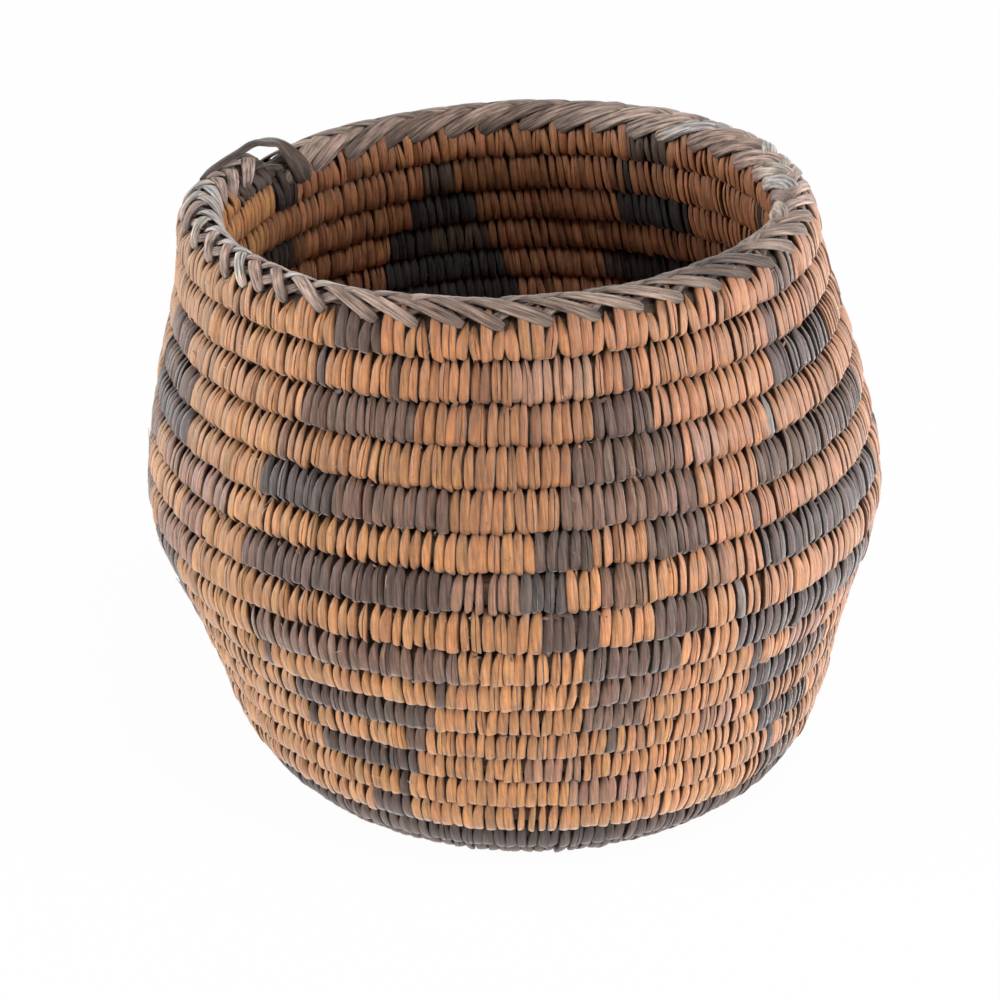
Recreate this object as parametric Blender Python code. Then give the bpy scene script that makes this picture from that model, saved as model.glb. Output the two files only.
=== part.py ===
"""Coiled basket with a herringbone rim, built turn by turn as it is sewn.

One bundle of rods winds from the middle of the base to the rim. Every turn of it is wrapped by
its own row of sewing, and a plaited braid finishes the top turn. Metres, +Z up, the basket
stands on z = 0 and the front looks along -Y.
"""
import math

import bmesh
import bpy
import numpy as np

MM = 0.001

# Outline of the coil's middle line, from the middle of the base to the rim
MIDDLE_HEIGHT = 4.6 * MM        # the base is drawn up a little in its middle
SOLE_RADIUS = 30.0 * MM         # where the base starts to come down to its standing turn
SOLE_RISE = 0.3 * MM            # how far that place lies above the standing turn
FOOT_RADIUS = 36.0 * MM         # the turn that the basket stands on
EDGE_RADIUS = 41.3 * MM         # where the base turns become wall turns
EDGE_HEIGHT = 6.0 * MM
HEEL_RADIUS = 44.6 * MM
HEEL_HEIGHT = 10.7 * MM
LOWER_RADIUS = 49.2 * MM
LOWER_HEIGHT = 25.6 * MM
FLARE_HEIGHT = 34.6 * MM
FLARE_FULLNESS = 0.06 * MM      # how far the wall stands out there over a straight line to the belly
BELLY_RADIUS = 56.3 * MM
BELLY_HEIGHT = 48.1 * MM
SHOULDER_DRAW = 2.4 * MM        # how far the wall has drawn in from the belly by then
SHOULDER_HEIGHT = 65.6 * MM
NECK_RADIUS = 48.4 * MM
NECK_HEIGHT = 87.6 * MM
RIM_RADIUS = 47.0 * MM
RIM_HEIGHT = 97.5 * MM          # the coil's upper end

# The basket's hand-made set
LEAN = -0.052                   # sideways run of the axis, to the left, for each unit of height
RISE_RIGHT = 1.72 * MM          # how much higher the rim lies at the right
RISE_FRONT = 1.52 * MM          # and at the front
FOOT_FLAT = 0.5 * MM            # depth worn flat under the standing turn

# The coil
WALL_TURNS = 16
BASE_TURNS = 7.36
PITCH_RATIO = 1.38              # a turn at the rim is this much taller than one at the foot
COIL_DEPTH = 7.4 * MM           # through the wall, over the sewing
SEWING = 1.2 * MM               # layer of sewing round the bundle
CREST_ROUND = 0.4               # where a sewn turn's section rounds off to its top, as a share of its half
CREST_DEPTH = 0.5               # its depth at the very top, tucked behind the turn above
FOOT_ROUND = 0.62               # where it rounds off to its foot, which is blunter
FOOT_DEPTH = 0.55
GAP = 0.3 * MM                  # between neighbouring pieces
END_ANGLE = math.radians(147)   # where the coil ends, at the back left
END_TAPER = 0.12                # turns over which the coil's end thins out
END_HEIGHT = 0.4                # height left at the very end, as a share of a full turn

# The rim braid
BRAID_PLAITS = 45
BRAID_HEIGHT = 1.6 * MM         # ridge of the braid over the turn that it covers
BRAID_FLANK = 0.9 * MM          # thickness of its sides
BRAID_EDGE = 0.65 * MM          # and of their lower edges
BRAID_RELIEF = 0.45 * MM        # how far a strand stands out
BRAID_SLANT = 1.3               # plaits that a strand runs on from the ridge to its tip
BRAID_REACH = 0.35              # how far the sides come down the turn's rounded corner
BRAID_TIP = 0.3                 # and how much further the strands' tips do
FLANK_REACH = 0.2               # how far down that corner the sides are fullest

# The arched strand that laps the braid's two ends
STRAND_RADIUS = 0.6 * MM
ARCH_STEP = 0.1 * MM            # unit of its route: a larger one arches it higher and deeper

# Facets
TURN_SEGMENTS = 18
PLAIT_STEPS = 4
STRAND_SIDES = 6

TAN = (0.56, 0.29, 0.13)
DARK = (0.075, 0.06, 0.055)
GREY_BROWN = (0.21, 0.155, 0.125)
ROD_BROWN = (0.33, 0.19, 0.10)


def clear_scene():
    for item in list(bpy.data.objects):
        bpy.data.objects.remove(item, do_unlink=True)


def plant_fibre(name, colour, roughness):
    material = bpy.data.materials.new(name)
    material.use_nodes = True
    shader = material.node_tree.nodes["Principled BSDF"]
    shader.inputs["Base Color"].default_value = (*colour, 1.0)
    shader.inputs["Roughness"].default_value = roughness
    shader.inputs["Metallic"].default_value = 0.0
    return material


def smooth_curve(points, steps=40):
    """A smooth line through the points, whose corners are weighted by the distances between them."""
    points = np.array(points, float)
    chord = np.linalg.norm(np.diff(points, axis=0), axis=1)
    slope = np.diff(points, axis=0) / chord[:, None]
    tangent = np.empty_like(points)
    tangent[0] = slope[0]
    tangent[-1] = slope[-1]
    before = chord[:-1, None]
    after = chord[1:, None]
    tangent[1:-1] = (slope[:-1] * after + slope[1:] * before) / (before + after)
    line = []
    for i in range(len(chord)):
        for u in np.linspace(0, 1, steps, endpoint=False):
            start = (1 + 2 * u) * (1 - u) ** 2 * points[i] + u * (1 - u) ** 2 * chord[i] * tangent[i]
            finish = u * u * (3 - 2 * u) * points[i + 1] - u * u * (1 - u) * chord[i] * tangent[i + 1]
            line.append(start + finish)
    line.append(points[-1])
    return np.array(line)


def outline():
    """The coil's middle line as radius and height, and the lengths along it."""
    foot_height = COIL_DEPTH / 2 - FOOT_FLAT
    up_flare = (FLARE_HEIGHT - LOWER_HEIGHT) / (BELLY_HEIGHT - LOWER_HEIGHT)
    flare_radius = LOWER_RADIUS + (BELLY_RADIUS - LOWER_RADIUS) * up_flare + FLARE_FULLNESS
    stations = [
        (0.0, MIDDLE_HEIGHT),
        (SOLE_RADIUS, foot_height + SOLE_RISE),
        (FOOT_RADIUS, foot_height),
        (EDGE_RADIUS, EDGE_HEIGHT),
        (HEEL_RADIUS, HEEL_HEIGHT),
        (LOWER_RADIUS, LOWER_HEIGHT),
        (flare_radius, FLARE_HEIGHT),
        (BELLY_RADIUS, BELLY_HEIGHT),
        (BELLY_RADIUS - SHOULDER_DRAW, SHOULDER_HEIGHT),
        (NECK_RADIUS, NECK_HEIGHT),
        (RIM_RADIUS, RIM_HEIGHT),
    ]
    mirrored = [(-SOLE_RADIUS, foot_height + SOLE_RISE)] + stations
    line = smooth_curve(mirrored)
    line = line[np.argmin(np.abs(line[:, 0])):]
    last = line[-1] - line[-2]
    line = np.vstack([line, line[-1] + last / np.linalg.norm(last) * 3 * COIL_DEPTH])
    run = np.concatenate([[0.0], np.cumsum(np.linalg.norm(np.diff(line, axis=0), axis=1))])
    edge = run[np.argmin(np.linalg.norm(line - np.array(stations[3]), axis=1))]
    line[:, 1] += foot_height - line[:, 1].min()
    return line, run, edge, run[-2]


LINE, RUN, EDGE_RUN, RIM_RUN = outline()
PITCH_FOOT = 2 * (RIM_RUN - EDGE_RUN) / WALL_TURNS / (1 + PITCH_RATIO)
PITCH_RIM = PITCH_FOOT * PITCH_RATIO
PITCH_BASE = EDGE_RUN / (BASE_TURNS + 1)
COIL_END = WALL_TURNS + BASE_TURNS


def coil_run(turn):
    """Length along the outline at which the coil lies, counted in turns down from its upper end."""
    if turn < WALL_TURNS:
        return RIM_RUN - PITCH_RIM * turn + (PITCH_RIM - PITCH_FOOT) / (2 * WALL_TURNS) * turn ** 2
    return EDGE_RUN - PITCH_BASE * (turn - WALL_TURNS)


def outline_point(run, depth):
    """Radius and height of a point that lies off the middle line, outwards for a positive depth."""
    step = 0.5 * MM
    low = max(run - step, 0.0)
    here = np.array([np.interp(run, RUN, LINE[:, k]) for k in (0, 1)])
    back = np.array([np.interp(low, RUN, LINE[:, k]) for k in (0, 1)])
    ahead = np.array([np.interp(run + step, RUN, LINE[:, k]) for k in (0, 1)])
    along = (ahead - back) / np.linalg.norm(ahead - back)
    if run <= 0:
        along = np.array([1.0, 0.0])
    return here + depth * np.array([along[1], -along[0]])


def place(turn, run, depth):
    """A point of the basket, with its lean and the slope of its rim."""
    radius, height = outline_point(run, depth)
    height = max(height, 0.0)
    angle = END_ANGLE + 2 * math.pi * turn
    slope = (RISE_RIGHT * math.cos(angle) - RISE_FRONT * math.sin(angle)) / RIM_HEIGHT
    return (
        LEAN * (height - BELLY_HEIGHT) + radius * math.cos(angle),
        radius * math.sin(angle),
        height * (1 + slope),
    )


def end_share(turn):
    """Height of the top turn, as a share of its full height: it thins out to its end."""
    u = min(max(turn / END_TAPER, 0.0), 1.0)
    return END_HEIGHT + (1 - END_HEIGHT) * u * u * (3 - 2 * u)


def turn_span(turn):
    """Lower and upper limits of a sewn turn along the outline."""
    low = coil_run(turn + 0.5) + GAP / 2
    high = coil_run(turn - 0.5) - GAP / 2
    return low, low + (high - low) * end_share(turn)


def seam_gap(turn):
    """Half the gap between two neighbouring pieces' ends, in turns."""
    radius = outline_point(coil_run(turn), 0.0)[0]
    return GAP / 2 / (2 * math.pi * radius)


def turn_stations(first, last):
    """Positions of a piece's rings, in turns: an even grid with both ends drawn in by the gap."""
    inner = [k / TURN_SEGMENTS for k in range(math.ceil(first * TURN_SEGMENTS) + 1,
                                              math.ceil(last * TURN_SEGMENTS))]
    return [first + seam_gap(first)] + inner + [last - seam_gap(last)]


def sewn_section(turn):
    """Eight corners of a sewn turn, its flat sides towards its neighbours and the wall's faces."""
    low, high = turn_span(turn)
    middle = (low + high) / 2
    half = (high - low) / 2
    depth = COIL_DEPTH / 2
    outer = [(1, CREST_DEPTH), (CREST_ROUND, 1), (-FOOT_ROUND, 1), (-1, FOOT_DEPTH)]
    corners = outer + [(up, -out) for up, out in reversed(outer)]
    return [(middle + half * up, depth * out) for up, out in corners]


def bundle_half(turn):
    """Half height and half depth of the space that the sewing leaves round the bundle."""
    low, high = turn_span(turn)
    share = end_share(turn)
    full = (high - low) / 2 / share
    return (low + high) / 2, (full - SEWING) * share, COIL_DEPTH / 2 - SEWING


def bore_section(turn):
    """Four corners of the space inside a sewn turn, in the order of the outer corners."""
    middle, half, depth = bundle_half(turn)
    return [(middle + half * up, depth * out) for up, out in ((1, 1), (-1, 1), (-1, -1), (1, -1))]


def bundle_section(turn):
    """Six corners of the bundle of rods, a gap inside the sewing."""
    middle, half, depth = bundle_half(turn)
    half -= GAP * end_share(turn)
    depth -= GAP
    corners = ((1, 0), (0.5, 1), (-0.5, 1), (-1, 0), (-0.5, -1), (0.5, -1))
    return [(middle + half * up, depth * out) for up, out in corners]


def new_object(name, shape, material):
    """Close a bmesh into an object, with its faces pointing out and round sides shaded smooth."""
    bmesh.ops.recalc_face_normals(shape, faces=shape.faces)
    mesh = bpy.data.meshes.new(name)
    shape.to_mesh(mesh)
    shape.free()
    mesh.materials.append(material)
    mesh.shade_smooth()
    mesh.set_sharp_from_angle(angle=math.radians(50))
    item = bpy.data.objects.new(name, mesh)
    bpy.context.collection.objects.link(item)
    return item


def add_rings(shape, rings):
    """Rings of vertices with a skin of quads between them."""
    loops = [[shape.verts.new(point) for point in ring] for ring in rings]
    for ring, following in zip(loops, loops[1:]):
        for k in range(len(ring)):
            after = (k + 1) % len(ring)
            shape.faces.new((ring[k], ring[after], following[after], following[k]))
    return loops


def sewn_turn(name, first, last, material):
    """The sewing of one turn: a bent sleeve that is open at both ends round the bundle."""
    stations = turn_stations(first, last)
    shape = bmesh.new()
    outer = add_rings(shape, [[place(t, *c) for c in sewn_section(t)] for t in stations])
    bore = add_rings(shape, [[place(t, *c) for c in bore_section(t)] for t in stations])
    for end in (0, -1):
        for q in range(4):
            a = outer[end][2 * q]
            b = outer[end][2 * q + 1]
            c = outer[end][(2 * q + 2) % 8]
            shape.faces.new((a, b, bore[end][q]))
            shape.faces.new((b, c, bore[end][(q + 1) % 4], bore[end][q]))
    return new_object(name, shape, material)


def foundation(material):
    """The bundle of rods: one unbroken winding from the rim's end to the start in the base."""
    stations = turn_stations(0.0, COIL_END)
    rings = [[place(t, *c) for c in bundle_section(t)] for t in stations]
    shape = bmesh.new()
    loops = add_rings(shape, rings)
    shape.faces.new(loops[0])
    shape.faces.new(loops[-1])
    least = least_gap(np.array(rings))
    print(f"foundation_coil: {COIL_END:.2f} loops, least gap to itself {least / MM:.2f} mm")
    return new_object("foundation_coil", shape, material)


def least_gap(rings):
    """Smallest distance between the surface points of one loop and the loops next to it."""
    least = 1.0
    for i in range(len(rings)):
        far = rings[i + TURN_SEGMENTS // 2:i + 3 * TURN_SEGMENTS // 2].reshape(-1, 3)
        if len(far):
            distances = np.linalg.norm(rings[i][:, None] - far[None], axis=2)
            least = min(least, float(distances.min()))
    return least


def start_knot(material):
    """The coil's start: a comma of sewing that fills the space inside the first loop."""
    turns = [COIL_END + k / TURN_SEGMENTS for k in range(TURN_SEGMENTS + 1)]
    turns[0] += 2 * seam_gap(COIL_END + 0.5)
    turns[-1] -= seam_gap(COIL_END + 0.5)
    depth = COIL_DEPTH / 2
    shape = bmesh.new()
    rings = []
    for share, out in ((0.6, 1), (1, CREST_DEPTH), (1, -CREST_DEPTH), (0.6, -1)):
        runs = [coil_run(t - 0.5) - GAP for t in turns]
        rings.append([place(t, run * share, depth * out) for t, run in zip(turns, runs)])
    loops = add_rings(shape, rings)
    for loop, out in ((loops[0], 1), (loops[-1], -1)):
        centre = shape.verts.new(place(COIL_END, 0.0, depth * out))
        for k in range(len(loop)):
            shape.faces.new((loop[k], loop[(k + 1) % len(loop)], centre))
    return new_object("start_knot", shape, material)


def plait_relief(plait, across):
    """How far a strand stands out, from 0 between strands to 1 on one, at a place on the braid."""
    return 0.5 + 0.5 * math.cos(2 * math.pi * (plait - BRAID_SLANT * across))


def braid_section(turn, plait):
    """Nine corners of the braid: its seat over the turn's top, and its feet, flanks and ridge."""
    low, high = turn_span(turn)
    shoulder = COIL_DEPTH / 2 * CREST_DEPTH
    corner_rise = (high - low) / 2 * (1 - CREST_ROUND)
    corner_out = COIL_DEPTH / 2 * (1 - CREST_DEPTH)
    slant = math.hypot(corner_rise, corner_out)
    up = corner_out / slant
    out = corner_rise / slant

    def off_corner(reach, clear):
        """A place at a distance from the turn's rounded corner, a share of the way down it."""
        return high - corner_rise * reach + clear * up, shoulder + corner_out * reach + clear * out

    reach = BRAID_REACH + BRAID_TIP * plait_relief(plait, 1.0)
    foot = off_corner(reach, GAP)
    edge = off_corner(reach, GAP + BRAID_EDGE)
    flank = off_corner(FLANK_REACH, GAP + BRAID_FLANK + BRAID_RELIEF * plait_relief(plait, 0.5))
    ridge = high + GAP + BRAID_HEIGHT - BRAID_RELIEF * (1 - plait_relief(plait, 0.0))
    half = [(high + GAP, shoulder), foot, edge, flank]
    mirrored = [(run, -depth) for run, depth in reversed(half)]
    return half + [(ridge, 0.0)] + mirrored


def rim_braid(material):
    """The herringbone finish: a plaited saddle along the whole top turn, in step with its facets."""
    stations = turn_stations(0.0, 1.0)
    steps = BRAID_PLAITS * PLAIT_STEPS
    rings = []
    for j in range(steps + 1):
        at = j / steps * (len(stations) - 1)
        i = min(int(at), len(stations) - 2)
        plait = j / PLAIT_STEPS
        here = np.array([place(stations[i], *c) for c in braid_section(stations[i], plait)])
        ahead = np.array([place(stations[i + 1], *c) for c in braid_section(stations[i + 1], plait)])
        rings.append(here + (ahead - here) * (at - i))
    shape = bmesh.new()
    loops = add_rings(shape, rings)
    shape.faces.new(loops[0])
    shape.faces.new(loops[-1])
    return new_object("rim_braid", shape, material)


def arched_strand(material):
    """The braid's last strand: it rises over the lapped ends and goes down inside the wall."""
    # Degrees from the coil's end, then steps of clearance over the braid's ridge and of depth
    route = [
        (30, 1, 12),
        (20, 3, 8),
        (10, 5, 2),
        (0, 8, -5),
        (-6, 15, -19),
        (-10, -8, -42),
        (-13, -42, -52),
    ]
    bends = []
    for degrees, clear, depth in route:
        turn = degrees / 360
        covered = turn if turn >= 0 else turn + 1
        ridge = turn_span(covered)[1] + GAP + BRAID_HEIGHT
        run = ridge + GAP + STRAND_RADIUS + clear * ARCH_STEP
        bends.append(place(turn, run, depth * ARCH_STEP))
    line = smooth_curve(bends, steps=3)
    curve = bpy.data.curves.new("rim_braid_end", "CURVE")
    curve.dimensions = "3D"
    curve.bevel_depth = STRAND_RADIUS
    curve.bevel_resolution = STRAND_SIDES // 2 - 2
    curve.use_fill_caps = True
    spline = curve.splines.new("POLY")
    spline.points.add(len(line) - 1)
    for point, position in zip(spline.points, line):
        point.co = (*position, 1.0)
    curve.materials.append(material)
    item = bpy.data.objects.new("rim_braid_end", curve)
    bpy.context.collection.objects.link(item)
    return item


def build():
    clear_scene()
    natural = plant_fibre("natural_splint", TAN, 0.62)
    dark = plant_fibre("dark_splint", DARK, 0.6)
    braid = plant_fibre("braid_splint", GREY_BROWN, 0.7)
    rods = plant_fibre("foundation_rods", ROD_BROWN, 0.8)
    foundation(rods)
    for k in range(WALL_TURNS):
        material = dark if k == WALL_TURNS - 1 else natural
        sewn_turn(f"wall_course_{k + 1:02d}", float(k), float(k + 1), material)
    base_courses = int(BASE_TURNS)
    for k in range(base_courses):
        first = WALL_TURNS + k
        last = COIL_END if k == base_courses - 1 else first + 1
        sewn_turn(f"base_course_{k + 1:02d}", float(first), float(last), natural)
    start_knot(natural)
    rim_braid(braid)
    arched_strand(braid)


build()
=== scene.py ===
"""Looks of the coiled basket: every stitch of the sewing, the bundle inside it and the plaited rim.

Lengths are in metres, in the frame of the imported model. A place on the basket is given by its
turn, counted down the coil from its upper end, by its run along the wall's outline from the
middle of the base, and by its depth from the coil's middle line, positive outwards.
"""
import math

import bpy
import numpy as np
from mathutils import Matrix

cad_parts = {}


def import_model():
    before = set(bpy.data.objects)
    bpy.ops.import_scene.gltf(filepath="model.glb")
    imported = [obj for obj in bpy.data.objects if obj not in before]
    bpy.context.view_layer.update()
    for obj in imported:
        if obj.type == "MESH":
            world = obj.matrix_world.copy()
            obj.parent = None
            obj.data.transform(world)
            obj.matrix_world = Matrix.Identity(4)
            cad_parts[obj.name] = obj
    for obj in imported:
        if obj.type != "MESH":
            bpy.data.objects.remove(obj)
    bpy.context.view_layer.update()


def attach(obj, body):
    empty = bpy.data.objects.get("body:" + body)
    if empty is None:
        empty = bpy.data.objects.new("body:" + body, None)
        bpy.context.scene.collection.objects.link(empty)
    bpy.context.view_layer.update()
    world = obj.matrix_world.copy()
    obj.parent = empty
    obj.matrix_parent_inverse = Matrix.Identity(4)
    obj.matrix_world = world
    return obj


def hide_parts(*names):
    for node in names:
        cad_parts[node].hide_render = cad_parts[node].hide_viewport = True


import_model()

MM = 0.001

# The camera of the photograph
LENS_PIXELS = 3993.0            # focal length in pixels of the 1000 pixel frame
SENSOR = 36.0
CAMERA_DISTANCE = 0.6617
CAMERA_DOWN = math.radians(27.41)
CAMERA_ROLL = math.radians(0.83)
CAMERA_SIDE = -2.58 * MM
CAMERA_AIM_HEIGHT = 44.05 * MM

# Outline of the coil's middle line, as in the solids
MIDDLE_HEIGHT = 4.6 * MM
SOLE = (30.0 * MM, 0.3 * MM)    # radius, and its rise over the standing turn
FOOT_RADIUS = 36.0 * MM
WALL_OUTLINE = (                # radius and height: edge, heel, lower wall, flare, belly, shoulder, neck, rim
    (41.3 * MM, 6.0 * MM),
    (44.6 * MM, 10.7 * MM),
    (49.2 * MM, 25.6 * MM),
    (52.1 * MM, 34.6 * MM),
    (56.3 * MM, 48.1 * MM),
    (53.9 * MM, 65.6 * MM),
    (48.4 * MM, 87.6 * MM),
    (47.0 * MM, 97.5 * MM),
)
BELLY_HEIGHT = WALL_OUTLINE[4][1]
RIM_HEIGHT = WALL_OUTLINE[-1][1]
LEAN = -0.052
RISE_RIGHT = 1.72 * MM
RISE_FRONT = 1.52 * MM
FOOT_FLAT = 0.5 * MM

# The coil
WALL_TURNS = 16
BASE_TURNS = 7.36
PITCH_RATIO = 1.38
COIL_DEPTH = 7.4 * MM
END_ANGLE = math.radians(147)
END_AZIMUTH = -123.0            # the same place as an azimuth: 0 at the front, positive to the right
END_TAPER = 0.12
END_HEIGHT = 0.4

# The sewing
WALL_STITCHES = 210.5           # in a turn: the odd half sets each row between the stitches of the last
STITCH_PITCH = 1.75 * MM        # on the base
FACE = COIL_DEPTH / 2 - 0.35 * MM
DOME = 0.48 * MM                # how far a stitch's middle stands over its edges
SPLINT = 0.45 * MM              # thickness of a stitch at its edges
BOTTOM_LAP = 0.40 * MM          # how far a stitch's foot hangs over the row below
TIP_LAP = 0.70 * MM             # how far its tip runs up between the feet of the row above

# The rim braid
PLAITS = 45
STRAND_WIDTH = 2.25 * MM
STRAND_THICK = 0.38 * MM
BRAID_TOP = 1.45 * MM           # over the top turn's sewing
SADDLE_DROP = 2.5 * MM          # from that sewing's top down to the braid section's middle
SADDLE_OUT = 3.1 * MM
RIM_RADIUS = WALL_OUTLINE[-1][0]
FRONT_TIPS = (-56, -51, -46, -39, -31, -22, -14, -5, 1, 10, 18, 26, 34, 42, 50, 57)

# Colours of the plant fibres, in linear light
TAN = (0.42, 0.174, 0.060)
OCHRE = (0.50, 0.218, 0.059)
ROSE = (0.345, 0.129, 0.053)
BROWN = (0.28, 0.130, 0.070)
CHARCOAL = (0.080, 0.045, 0.032)
BLUE_GREY = (0.060, 0.041, 0.036)
UMBER = (0.130, 0.069, 0.045)
GREY = (0.17, 0.135, 0.115)
BRAID_DARK = (0.17, 0.108, 0.080)
BRAID_LIGHT = (0.42, 0.300, 0.235)
ROD = (0.22, 0.118, 0.068)
STRAW = (0.66, 0.47, 0.32)
PALE = (0.86, 0.86, 0.86)
FLOOR_WHITE = 0.97              # share of the floor's own white in what is seen of it and in its light
FLOOR_BOUNCE = 1.55             # strength of that light on the basket
FLOOR_REACH = 2.5
FLOOR_DROP = 0.02 * MM          # how far it lies under the basket's foot
SPECK = (0.07, 0.035, 0.02, 1.0)
# Colour of dirt and painted shade in the grooves
GRIME_AND_SHADE = (0.10, 0.065, 0.05, 1.0)
RUBBED_PALER = 1.9              # how much paler a rubbed crest is than its splint
FIBRE_STRETCH = (2700.0, 190.0, 1.0)    # fineness of the streaks, across and along the fibre
LOOKS = {                       # roughness, streaks, wear, specks, sheen and gloss of each slot
    "natural_splint": (0.50, 0.44, 0.30, 0.5, 0.75, 0.5),
    "dark_splint": (0.52, 0.60, 0.30, 0.0, 1.0, 0.32),
    "braid_splint": (0.62, 0.85, 0.12, 0.0, 0.4, 0.4),
    "foundation_rods": (0.8, 0.5, 0.2, 0.2, 0.2, 0.4),
}

# How tones change, as gains on red, green and blue
# Painted highlight on the flanks: gains that make the outside of dark, left and right splints paler and
# greyer
FLANK_HIGHLIGHT_DARK = np.array([0.40, 0.45, 0.52])
FLANK_HIGHLIGHT_LEFT = np.array([-0.15, 0.0, 0.40])
FLANK_HIGHLIGHT_RIGHT = np.array([0.12, 0.32, 0.85])
# Painted light inside the basket, more in deeper rows; on dark splints painted shade in the top rows
INSIDE_PAINTED_LIGHT = np.array([1.1648, 1.1648, 1.248])
INSIDE_PAINTED_LIGHT_DEEPER = np.array([0.055, 0.09, 0.17])
INSIDE_DARK_PAINTED_LIGHT = np.array([0.5, 0.6, 0.7])
INSIDE_DARK_PAINTED_LIGHT_DEEPER = np.array([0.12, 0.17, 0.21])
# Painted shade on the lowest row, which faces down
LOWEST_ROW_SHADE = np.array([0.52, 0.58, 0.66])
BRAID_PALEST = np.array([0.48, 0.415, 0.37])
BRAID_COOL = np.array([0.0, 0.05, 0.14])

# Pairs of azimuth and value
# Painted highlight: its share by azimuth, most at the two flanks
FLANK_HIGHLIGHT_SHARE = ((-120, 0.2), (-90, 0.9), (-45, 0.4), (-20, 0), (10, 0), (60, 0.7), (100, 1), (140, 0.2))
POINTED = ((-120, 0.2), (-45, 0.34), (-15, 0), (30, 0), (60, 0.2), (120, 0.15))
STRAND_RUNS = ((-123, 10), (-95, 8), (-60, 5.8), (-38, 6.5), (-12, 14), (60, 14), (120, 14.5), (237, 14.5))
# Brightness of the braid along the rim: paler weathered strands, and painted light and shade
WEATHERING_AND_PAINTED_LIGHT = (
    (-123, 0.6), (-112, 0.8), (-105, 1.6), (-70, 2.0), (-45, 2.0), (-30, 1.7), (-14, 1.15), (25, 0.8),
    (42, 0.58), (58, 0.5), (72, 0.9), (100, 1.8), (135, 2.0), (155, 1.05), (237, 0.95),
)
COOLED = (
    (-123, 0.2), (-105, 1), (-60, 1), (-30, 0.5), (-10, 0), (72, 0), (100, 0.8), (150, 0.7), (190, 0.2),
    (237, 0.3),
)

# Light of the white surroundings, as shares of white
FRONT_GLOW = 0.06               # from behind the camera
TOP_GLOW = 0.50                 # from above
DIFFUSE_GLOW = 0.71             # on matt surfaces, against what gloss shows
LIGHT_AIM = (0.0, 0.0, 0.05)
LIGHTS = (                      # name, place, size and power
    ("left_light", (-1.10, -0.27, 0.17), 0.8, 20.0),
    ("right_light", (1.03, -0.41, 0.08), 0.8, 29.0),
    ("inside_light", (0.20, -0.45, 0.95), 0.35, 4.8),
)


# Outline and coil

def unit(vectors):
    return vectors / np.linalg.norm(vectors, axis=-1, keepdims=True)


def stacked(*parts):
    """Vectors from their three parts, each spread over the others' places."""
    return np.stack(np.broadcast_arrays(*parts), -1)


def at_azimuth(angle, pairs):
    return np.interp(angle, *zip(*pairs))


def smooth_curve(points, steps=40):
    """A smooth line through the points, whose corners are weighted by the distances between them."""
    points = np.array(points, float)
    chord = np.linalg.norm(np.diff(points, axis=0), axis=1)
    slope = np.diff(points, axis=0) / chord[:, None]
    tangent = np.empty_like(points)
    tangent[0] = slope[0]
    tangent[-1] = slope[-1]
    before = chord[:-1, None]
    after = chord[1:, None]
    tangent[1:-1] = (slope[:-1] * after + slope[1:] * before) / (before + after)
    line = []
    for i in range(len(chord)):
        for u in np.linspace(0, 1, steps, endpoint=False):
            start = (1 + 2 * u) * (1 - u) ** 2 * points[i] + u * (1 - u) ** 2 * chord[i] * tangent[i]
            finish = u * u * (3 - 2 * u) * points[i + 1] - u * u * (1 - u) * chord[i] * tangent[i + 1]
            line.append(start + finish)
    line.append(points[-1])
    return np.array(line)


def outline():
    """The coil's middle line and its outward side, in even steps, with the runs of its two ends."""
    foot_height = COIL_DEPTH / 2 - FOOT_FLAT
    sole = (SOLE[0], foot_height + SOLE[1])
    stations = [(-sole[0], sole[1]), (0.0, MIDDLE_HEIGHT), sole, (FOOT_RADIUS, foot_height)]
    line = smooth_curve(stations + list(WALL_OUTLINE))
    line = line[np.argmin(np.abs(line[:, 0])):]
    last = line[-1] - line[-2]
    line = np.vstack([line, line[-1] + last / np.linalg.norm(last) * 3 * COIL_DEPTH])
    run = np.concatenate([[0.0], np.cumsum(np.linalg.norm(np.diff(line, axis=0), axis=1))])
    edge = run[np.argmin(np.linalg.norm(line - np.array(WALL_OUTLINE[0]), axis=1))]
    line[:, 1] += foot_height - line[:, 1].min()
    even = np.arange(0.0, run[-1], 0.1 * MM)
    radius = np.interp(even, run, line[:, 0])
    height = np.interp(even, run, line[:, 1])
    reach = 5
    ahead = np.minimum(np.arange(len(even)) + reach, len(even) - 1)
    back = np.maximum(np.arange(len(even)) - reach, 0)
    along = unit(np.stack([radius[ahead] - radius[back], height[ahead] - height[back]], 1))
    return even, radius, height, along, edge, run[-2]


RUNS, RADII, HEIGHTS, ALONG, EDGE_RUN, RIM_RUN = outline()
PITCH_FOOT = 2 * (RIM_RUN - EDGE_RUN) / WALL_TURNS / (1 + PITCH_RATIO)
PITCH_RIM = PITCH_FOOT * PITCH_RATIO
PITCH_BASE = EDGE_RUN / (BASE_TURNS + 1)
COIL_END = WALL_TURNS + BASE_TURNS


def coil_run(turn):
    turn = np.asarray(turn, float)
    wall = RIM_RUN - PITCH_RIM * turn + (PITCH_RIM - PITCH_FOOT) / (2 * WALL_TURNS) * turn ** 2
    return np.where(turn < WALL_TURNS, wall, EDGE_RUN - PITCH_BASE * (turn - WALL_TURNS))


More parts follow.
